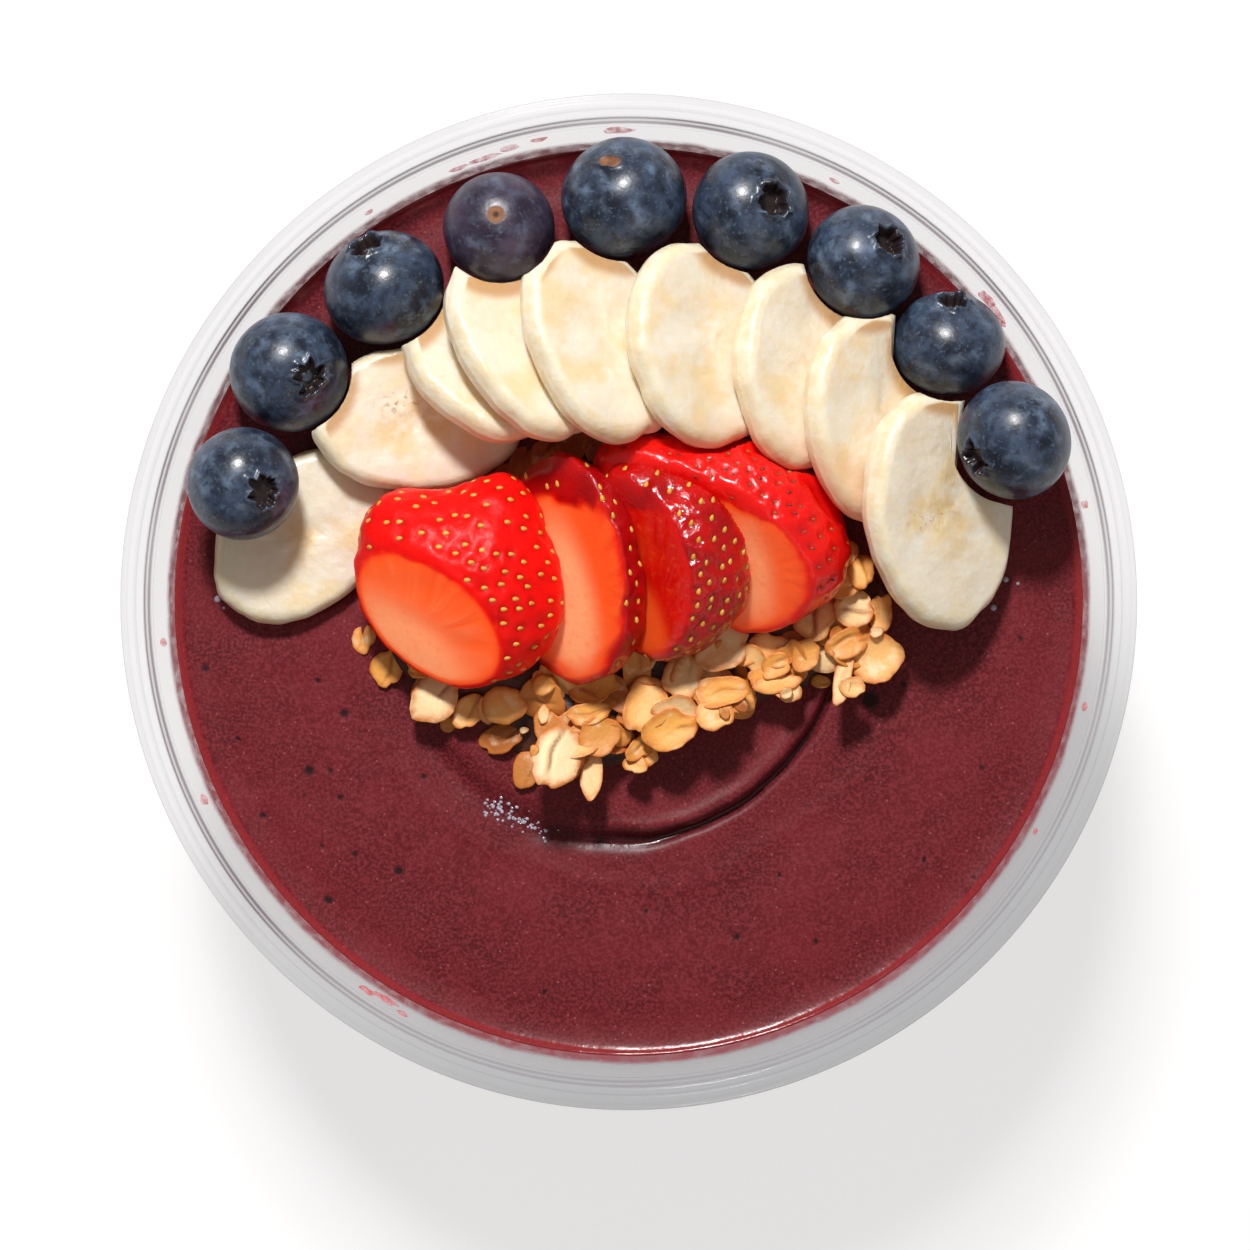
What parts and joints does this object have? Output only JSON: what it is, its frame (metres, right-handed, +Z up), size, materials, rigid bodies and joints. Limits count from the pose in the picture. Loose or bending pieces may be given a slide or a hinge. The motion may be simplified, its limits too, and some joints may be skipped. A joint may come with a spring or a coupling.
{
  "type": "acai bowl",
  "caption": "Clear round take-away bowl of thick acai with a raised swirl, an arc of banana slices and blueberries, and strawberry pieces on a mound of oat flakes.",
  "frame": {"origin": "middle of the bowl's underside, on the surface that it stands on", "axes": "+Z up along the bowl's axis; +Y towards the side with the blueberries, the top of the picture; +X to the right of it"},
  "size_m": [0.15, 0.15, 0.0758],
  "materials": {
    "clear_plastic": "clear and glossy",
    "acai": null,
    "oat_flakes": null,
    "banana": null,
    "blueberry": null,
    "strawberry": null
  },
  "bodies": {
    "root": {"bowl": "clear_plastic", "acai": "acai", "granola": "oat_flakes", "banana_1": "banana", "banana_2": "banana", "banana_3": "banana", "banana_4": "banana", "banana_5": "banana", "banana_6": "banana", "banana_7": "banana", "banana_8": "banana", "banana_9": "banana", "blueberry_1": "blueberry", "blueberry_2": "blueberry", "blueberry_3": "blueberry", "blueberry_4": "blueberry", "blueberry_5": "blueberry", "blueberry_6": "blueberry", "blueberry_7": "blueberry", "blueberry_8": "blueberry", "blueberry_9": "blueberry", "strawberry_1": "strawberry", "strawberry_2": "strawberry", "strawberry_3": "strawberry", "strawberry_4": "strawberry"}
  },
  "joints": []
}
